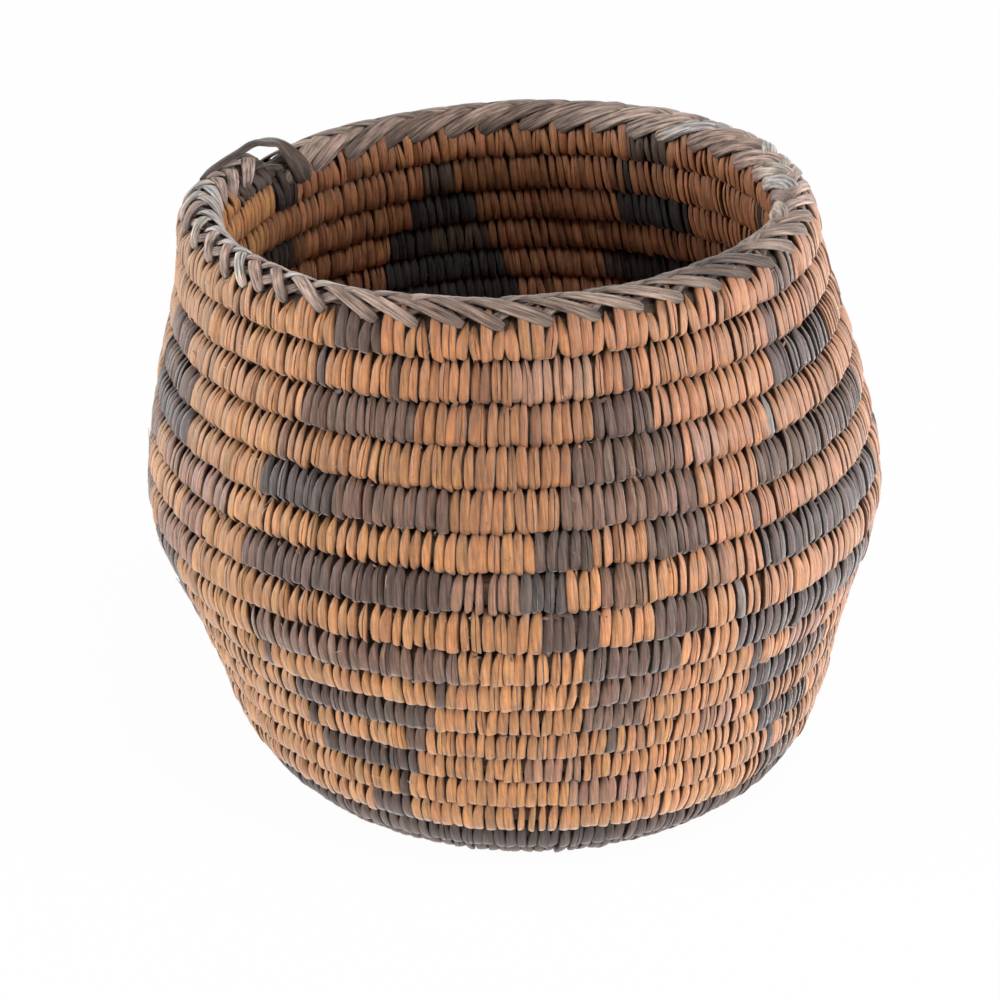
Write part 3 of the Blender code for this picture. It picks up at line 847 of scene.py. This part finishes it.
def bundle(materials):
    """The coil that the stitches wrap, seen in the gaps between them."""
    turns = np.linspace(0.004, COIL_END, int(COIL_END * BUNDLE_STEPS))
    low, high = turn_span(turns)
    middle = (low + high) / 2
    half = (high - low) / 2 - 0.25 * MM
    around = np.linspace(0, 2 * math.pi, 36, endpoint=False)
    lobes = 1 + 0.035 * np.cos(9 * around[None] + turns[:, None] * 5)
    run = middle[:, None] + half[:, None] * np.cos(around)[None] * lobes
    depth = (FACE - 0.55 * MM) * np.sin(around)[None] * lobes
    grid = place(turns[:, None], run, depth)[None]
    length = turns * 2 * math.pi * 48 * MM
    fibre = stacked(around[None] * 2 * MM, length[:, None], 3.0)[None]
    # Painted shadow: the bundle's top in the top turn is darker under the braid
    braid_shadow = (turns < 1.02)[:, None] & (np.cos(around) > 0.1)[None]
    tone = (np.array(ROD) * np.where(braid_shadow, 0.3, 1.0)[..., None])[None]
    piece = mesh_piece("foundation", grid, False, (tone, fibre, 0.35), materials["foundation_rods"],
                       caps=True)
    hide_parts("foundation_coil")
    return [piece]


# The start in the middle of the base

def start(materials):
    """The last loop closes on itself: stitches that fan out from the middle of the base."""
    rng = np.random.default_rng(11)
    turns = np.linspace(COIL_END, COIL_END + 0.97, 15, endpoint=False)
    radius = coil_run(turns - 0.5)
    v = np.array([0.02, 0.12, 0.3, 0.5, 0.7, 0.88, 1.0])
    out = np.array([0.72, 0.95, 1.0, 1.0, 0.97, 0.8, 0.35])
    grids = []
    for side in (1, -1):
        run = radius[:, None, None] * v[None, :, None]
        lift = np.where(RAISED > 0, RAISED * DOME, RAISED * SPLINT)[None, None]
        depth = side * ((FACE * out - 0.1 * MM)[None, :, None] + lift + rng.normal(0, 0.08 * MM, (15, 1, 1)))
        turn = turns[:, None, None] + 0.5 / 15 * 1.05 * ACROSS[None, None] * np.ones((1, 7, 1))
        grids.append(place(turn, run, depth))
    grid = np.concatenate(grids)
    tone = np.array(CHARCOAL)[None, None, None] * rng.uniform(0.9, 1.5, (30, 1, 1, 1))
    across = ACROSS[None, None] * 0.8 * MM + rng.uniform(0, 9, (30, 1, 1))
    fibre = stacked(across, v[None, :, None] * 5 * MM, 0.0)
    piece = mesh_piece("start_knot_stitches", grid, False, (tone, fibre, 0.2), materials["dark_splint"],
                       caps=True)
    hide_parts("start_knot")
    return [piece]


# The rim braid

def saddle(turn, tilt, lift):
    """Points over the top row: tilt is the angle from the ridge, positive to the outside."""
    high = turn_span(turn)[1]
    run = high - SADDLE_DROP + (SADDLE_DROP + BRAID_TOP + lift) * np.cos(tilt)
    depth = (SADDLE_OUT + lift) * np.sin(tilt)
    return place(turn, run, depth)


def braid_tips():
    """Azimuths of the outer strands' tips, close together at the front left."""
    front = np.array(FRONT_TIPS, float)
    left = np.arange(front[0] - 6.4, END_AZIMUTH + 3, -7.6)[::-1]
    right = np.arange(front[-1] + 8.1, END_AZIMUTH + 366, 8.1)
    return np.concatenate([left, front, right])


RIBBON_ACROSS = np.array([-1.0, -0.86, -0.45, -0.1, 0.3, 0.62, 0.9, 1.0, 0.8, -0.8])
RIBBON_RAISED = np.array([0.0, 0.72, 0.95, 0.84, 1.0, 0.9, 0.66, 0.0, -0.3, -0.3])


def ribbon_grid(turn, tilt, lift, width, cup):
    """Flat strands along paths over the saddle: bodies by places along by places across."""
    centre = saddle(turn, tilt, lift)
    up = unit(saddle(turn, tilt, lift + 0.2 * MM) - centre)
    side = unit(np.cross(unit(np.gradient(centre, axis=1)), up))
    reach = (width / 2)[..., None, None] * RIBBON_ACROSS[:, None] * side[..., None, :]
    rise = (RIBBON_RAISED * STRAND_THICK)[:, None] * up[..., None, :]
    sag = cup * (RIBBON_ACROSS ** 2)[:, None] * up[..., None, :]
    return centre[..., None, :] + reach + rise - sag


def strand_length(angle):
    """Run of a strand along the rim: short and steep at the left, long and slanting elsewhere."""
    return at_azimuth(angle, STRAND_RUNS) * MM


def strands(tips, inner, rng):
    """The strands on one side: each comes from under the one before it and ends at its tip."""
    count = len(tips)
    w = np.linspace(0, 1, 24)
    tips = tips + rng.normal(0, 0.5, count)
    length = strand_length(tips) * rng.uniform(0.94, 1.08, count)
    degrees = np.minimum(length / (2 * math.pi * RIM_RADIUS) * 360, tips - END_AZIMUTH - 1.0)
    angle = tips[:, None] - degrees[:, None] * (1 - w[None])
    turn = (angle - END_AZIMUTH) / 360
    reach = rng.uniform(0.95, 1.06, count)[:, None]
    steep = np.clip((-20 - tips) / 25, 0, 1)[:, None]
    tilt = np.radians(-17 + 95 * w[None] ** (1.15 - 0.15 * steep)) * reach
    rise = np.clip(w / 0.3, 0, 1)
    tuck = np.clip((w - 0.8) / 0.2, 0, 1) ** 2
    blunt = np.clip((tips - 15) / 20, 0, 1)[:, None]
    lift = (-0.75 + 0.85 * rise * rise * (3 - 2 * rise) - (0.25 - 0.2 * blunt) * tuck) * MM
    lift = lift + rng.normal(0, 0.08 * MM, count)[:, None]
    wide = 0.75 * MM if inner else 0.0
    full = rng.uniform(0.88, 1.08, count)[:, None] * (STRAND_WIDTH + wide - 0.35 * MM * steep)
    end = np.sqrt(np.clip((1 - w) / (0.10 - 0.07 * blunt), 0, 1))
    width = full * np.minimum(np.minimum(1, 0.5 + w * 2.2), 0.55 + 0.45 * end)
    keep = (degrees > 2.0) & (turn[:, -1] < 0.998)
    if inner:
        tilt = -tilt
    return [value[keep] for value in (turn, tilt, lift, width)]


def stubs(tips, inner, rng):
    """Short ends that cross under the strands, close below the ridge."""
    count = len(tips)
    w = np.linspace(0, 1, 24)
    length = rng.uniform(4.0, 6.0, count) * MM / (2 * math.pi * RIM_RADIUS)
    turn = (tips[:, None] - END_AZIMUTH) / 360 - 0.4 / PLAITS + length[:, None] * w[None]
    tilt = np.radians(76 - 66 * w[None] ** 0.9) * rng.uniform(0.92, 1.05, count)[:, None]
    lift = (-0.45 - 0.2 * w[None]) * MM + rng.normal(0, 0.1 * MM, count)[:, None]
    full = rng.uniform(1.4, 2.0, count)[:, None] * MM
    width = full * (0.55 + 0.45 * np.sqrt(np.clip(w[None] / 0.12, 0, 1)))
    keep = (turn[:, 0] > 0.002) & (turn[:, -1] < 0.998)
    if inner:
        tilt = -tilt
    return [value[keep] for value in (turn, tilt, lift, width)]


def braid(materials):
    """The herringbone: strands that cross the ridge and end low on either side, and those under them."""
    rng = np.random.default_rng(5)
    outer = braid_tips()
    middles = (outer[1:] + outer[:-1]) / 2
    grids = []
    shades = []
    ends = []
    w = np.linspace(0, 1, 24)
    # Painted shade: each strand darker at its foot and where it comes from under the strand before; stubs
    # under the strands darker still
    foot = 1.12 - 0.6 * np.clip((w - 0.55) / 0.45, 0, 1) ** 1.5
    lit = foot * (0.4 + 0.6 * np.clip(w / 0.35, 0, 1))
    for tips, inner in ((outer, False), (middles, True)):
        for make, shade, cup in ((strands, lit, 0.12 * MM), (stubs, 0.55, 0.1 * MM)):
            made = make(tips, inner, rng)
            grids.append(ribbon_grid(*made, cup))
            shades.append(np.broadcast_to(shade, made[0].shape))
            ends.append(made[0][:, -1])
    grid = np.concatenate(grids)
    shade = np.concatenate(shades)
    places = azimuth(np.concatenate(ends))
    count = len(grid)
    mix = rng.random((count, 1, 1, 1))
    base = np.array(BRAID_DARK) + (np.array(BRAID_LIGHT) - np.array(BRAID_DARK)) * mix ** 1.2
    # Weathering and painted light and shade, by azimuth
    shade = (shade * at_azimuth(places, WEATHERING_AND_PAINTED_LIGHT)[:, None])[:, :, None, None]
    tone = base * rng.uniform(0.8, 1.15, (count, 1, 1, 1)) * shade
    cool = at_azimuth(places, COOLED)[:, None, None, None]
    tone = np.minimum(tone, BRAID_PALEST) * (1 + cool * BRAID_COOL)
    across = RIBBON_ACROSS[None, None] * 1.25 * MM + rng.uniform(0, 30, (count, 1, 1))
    fibre = stacked(across, w[None, :, None] * 12 * MM, 0.0)
    # Dirt and painted shade along the strands' edges
    dirt_and_shade = np.clip(0.75 - RIBBON_RAISED, 0, 1)[None, None] * 0.9
    piece = mesh_piece("rim_braid_strands", grid, False, (tone, fibre, dirt_and_shade), materials["braid_splint"],
                       caps=True)
    core = braid_core(materials)
    for made in (piece, core):
        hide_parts("rim_braid")
    return [piece, core]


def braid_core(materials):
    """The strands' crossings out of sight under the herringbone, which close it against the light; their dark
    tone is painted shade.
    """
    turns = np.linspace(0.002, 0.998, 540)
    around = np.linspace(0, 2 * math.pi, 12, endpoint=False)
    tilt = np.radians(50) * np.cos(around)
    lift = (-0.80 + 0.25 * np.sin(around)) * MM
    lift = lift[None] + 0.1 * MM * np.sin(turns * 2 * math.pi * PLAITS * 2)[:, None]
    grid = saddle(turns[:, None], tilt[None], lift)[None]
    fibre = stacked(tilt[None] * 4 * MM, turns[:, None] * 0.295, 1.0)[None]
    # Painted shade: half the tone of the darkest strand
    tone = np.array(BRAID_DARK)[None, None, None] * np.ones((1, len(turns), 1, 1)) * 0.5
    return mesh_piece("rim_braid_core", grid, False, (tone, fibre, 0.3), materials["braid_splint"], caps=True)


ARCH = (                        # degrees from the coil's end, height over the ridge and depth in mm
    (20, -0.7, 1.9), (14, -0.2, 2.0), (9, 0.4, 1.6), (4, 0.9, 1.1), (0, 1.4, 0.6), (-3, 3.5, 0.2),
    (-6, 2.6, -0.1), (-8, 0.8, -1.7), (-9.2, -1.4, -3.1), (-10.2, -3.8, -3.9),
)


def braid_end(materials):
    """The arched strand over the coil's end, held down inside."""
    angle, rise, depth = np.array(ARCH).T
    turn = angle / 360
    covered = np.where(turn < 0, turn + 1, turn)
    ridge = turn_span(covered)[1] + BRAID_TOP
    line = smooth_curve(place(turn, ridge + rise * MM, depth * MM), steps=8)
    along = unit(np.gradient(line, axis=0))
    centre = smooth_curve(place(turn, ridge - 4 * MM, 0.0), steps=8)
    up = line - centre
    up = unit(up - (up * along).sum(1)[:, None] * along)
    side = np.cross(along, up)
    share = np.linspace(0, 1, len(line))
    width = np.interp(share, [0, 0.1, 0.45, 0.55, 0.65, 0.95, 1], [0.3, 0.8, 0.9, 1.5, 2.1, 2.1, 1.4]) * MM
    grid = (line[:, None] + (width[:, None] * RIBBON_ACROSS)[..., None] * side[:, None]
            + (RIBBON_RAISED * 0.6 * MM)[None, :, None] * up[:, None])[None]
    fibre = stacked(RIBBON_ACROSS[None] * MM, share[:, None] * 0.03, 1.0)[None]
    tone = np.array(BRAID_DARK)[None, None, None] * np.ones((1, len(line), 1, 1)) * 0.5
    piece = mesh_piece("rim_braid_end_strand", grid, False, (tone, fibre, 0.15),
                       materials["braid_splint"], caps=True)
    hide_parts("rim_braid_end")
    return [piece]


# Stage, light and camera

def floor_material():
    """White paper: what is seen of it is mostly its own white, so the object's shadow stays faint."""
    material = bpy.data.materials.new("floor_paper")
    material.use_nodes = True
    tree = material.node_tree
    shader = tree.nodes["Principled BSDF"]
    shader.inputs["Base Color"].default_value = (*PALE, 1.0)
    shader.inputs["Roughness"].default_value = 0.9
    shader.inputs["Specular IOR Level"].default_value = 0.0
    white = tree.nodes.new("ShaderNodeEmission")
    seen = tree.nodes.new("ShaderNodeLightPath").outputs["Is Camera Ray"]
    feed(tree, white.inputs["Strength"], ranged(tree, seen, FLOOR_BOUNCE, 1.0))
    mix = node(tree, "ShaderNodeMixShader", Fac=FLOOR_WHITE)
    feed(tree, mix.inputs[1], shader.outputs["BSDF"])
    feed(tree, mix.inputs[2], white.outputs["Emission"])
    feed(tree, tree.nodes["Material Output"].inputs["Surface"], mix.outputs["Shader"])
    return material


def stage():
    floor_mesh = bpy.data.meshes.new("floor")
    corners = [(x * FLOOR_REACH, y * FLOOR_REACH, 0) for x, y in ((-1, -1), (1, -1), (1, 1), (-1, 1))]
    floor_mesh.from_pydata(corners, [], [(0, 1, 2, 3)])
    floor = put("floor", floor_mesh)
    floor.location.z = -FLOOR_DROP
    floor_mesh.materials.append(floor_material())


def camera_matrix(*columns):
    """The place of a camera or a lamp, from its right, its up, its back and its position."""
    matrix = Matrix.Identity(4)
    for number, column in enumerate(columns):
        for row in range(3):
            matrix[row][number] = column[row]
    return matrix


def world():
    """White all round for the camera. It lights the basket mostly from the sides and the back."""
    made = bpy.data.worlds.new("studio")
    bpy.context.scene.world = made
    made.use_nodes = True
    tree = made.node_tree
    background = tree.nodes["Background"]
    background.inputs["Color"].default_value = (1.0, 1.0, 1.0, 1.0)
    split = tree.nodes.new("ShaderNodeSeparateXYZ")
    feed(tree, split.inputs["Vector"], tree.nodes.new("ShaderNodeTexCoord").outputs["Generated"])
    away = ranged(tree, split.outputs["Y"], FRONT_GLOW, 1.0, -0.55, 0.35, "SMOOTHSTEP")
    low = ranged(tree, split.outputs["Z"], 1.0, TOP_GLOW, 0.1, 0.8)
    ray = tree.nodes.new("ShaderNodeLightPath").outputs
    soft = ranged(tree, ray["Is Glossy Ray"], DIFFUSE_GLOW, 1.0)
    level = worked_out(tree, "MULTIPLY", worked_out(tree, "MULTIPLY", away, low), soft)
    seen = worked_out(tree, "MAXIMUM", ray["Is Camera Ray"], ray["Is Transmission Ray"])
    feed(tree, background.inputs["Strength"], worked_out(tree, "MAXIMUM", seen, level))


def lights():
    for name, position, size, power in LIGHTS:
        data = bpy.data.lights.new(name, "AREA")
        data.shape = "DISK"
        data.size = size
        data.energy = power
        back = unit(np.array(position) - np.array(LIGHT_AIM))
        right = unit(np.cross((0.0, 0.0, 1.0), back))
        put(name, data).matrix_world = camera_matrix(right, np.cross(back, right), back, position)


def camera():
    data = bpy.data.cameras.new("camera")
    data.sensor_fit = "HORIZONTAL"
    data.sensor_width = SENSOR
    data.lens = LENS_PIXELS / 1000 * SENSOR
    data.clip_start = 0.01
    made = put("camera", data)
    forward = np.array([0.0, math.cos(CAMERA_DOWN), -math.sin(CAMERA_DOWN)])
    right = np.array([1.0, 0.0, 0.0])
    up = np.cross(right, forward)
    aim = np.array([CAMERA_SIDE, 0.0, CAMERA_AIM_HEIGHT])
    position = aim - CAMERA_DISTANCE * forward
    c = math.cos(CAMERA_ROLL)
    s = math.sin(CAMERA_ROLL)
    made.matrix_world = camera_matrix(c * right - s * up, s * right + c * up, -forward, position)
    bpy.context.scene.camera = made


def build():
    materials = {slot: splint_material(slot + "_looks", *look) for slot, look in LOOKS.items()}
    pieces = sew(materials) + loose_ends(materials) + bundle(materials) + start(materials)
    pieces += braid(materials) + braid_end(materials)
    for piece in pieces:
        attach(piece, "root")
    stage()
    world()
    lights()
    camera()
    bpy.context.scene.view_settings.view_transform = "Standard"


ALL_TURNS = stitch_turns(1.0, COIL_END)
build()
